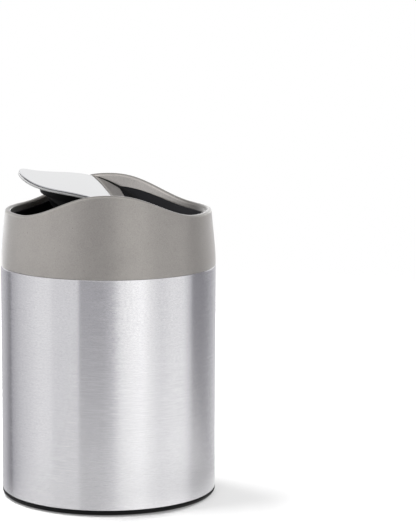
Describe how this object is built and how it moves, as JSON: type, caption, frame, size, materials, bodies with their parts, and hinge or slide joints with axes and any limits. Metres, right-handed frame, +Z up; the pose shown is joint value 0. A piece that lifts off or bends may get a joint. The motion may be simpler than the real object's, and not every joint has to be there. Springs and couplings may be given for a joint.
{
  "type": "push top countertop bin",
  "caption": "Small round countertop bin with a brushed steel body, a grey wave-rimmed head, a see-saw push lid and a lift-out inner bucket.",
  "frame": {"origin": "centre of the base, on the worktop", "axes": "+Z up; the lid's pivot axis runs along Y, with the front at -Y; +X is the right end of the lid, the one pushed down at rest"},
  "size_m": [0.1242, 0.1242, 0.1888],
  "materials": {
    "brushed_steel": "fine brush lines that run round the body",
    "polished_steel": "satin polish, nearly mirror bright",
    "plain_steel": "plain rolled or turned steel, zinc plated where it is a screw",
    "grey_plastic": "warm grey, matte, very fine speckle",
    "light_plastic": "light silver grey, satin",
    "black_plastic": "black, fine spark-eroded texture",
    "natural_plastic": "unpigmented bearing plastic",
    "black_rubber": "soft black rubber",
    "black_foam": "thin closed-cell foam tape"
  },
  "bodies": {
    "bin": {"body_shell": "brushed_steel", "floor_plate": "plain_steel", "base_cap": "black_plastic", "base_screws": "plain_steel", "nonskid_ring": "black_rubber"},
    "bucket": {"inner_bucket": "black_plastic"},
    "head": {"collar_shell": "grey_plastic", "pivot_ring": "black_plastic", "collar_screws": "plain_steel", "front_bush": "natural_plastic", "rear_bush": "natural_plastic", "stop_bumpers": "black_rubber"},
    "lid": {"lid_cover": "polished_steel", "lid_tape": "black_foam", "lid_carrier": "light_plastic", "lid_tray": "black_plastic", "tray_screws": "plain_steel", "front_pin": "plain_steel", "rear_pin": "plain_steel", "counterweight": "plain_steel", "counterweight_screws": "plain_steel"}
  },
  "joints": [
    {"name": "head_lift", "type": "slide", "parent": "bin", "child": "head", "axis": [0, 0, 1], "range_m": [0, 0.175]},
    {"name": "lid_swing", "type": "hinge", "parent": "head", "child": "lid", "pos_m": [0, 0, 0.1692], "axis": [0, 1, 0], "range_deg": [-85.2, 30.8]},
    {"name": "bucket_lift", "type": "slide", "parent": "bin", "child": "bucket", "axis": [0, 0, 1], "range_m": [0, 0.14]}
  ],
  "couplings": [
    {"joint": "bucket_lift", "follows": "head_lift", "ratio": 0.8}
  ]
}
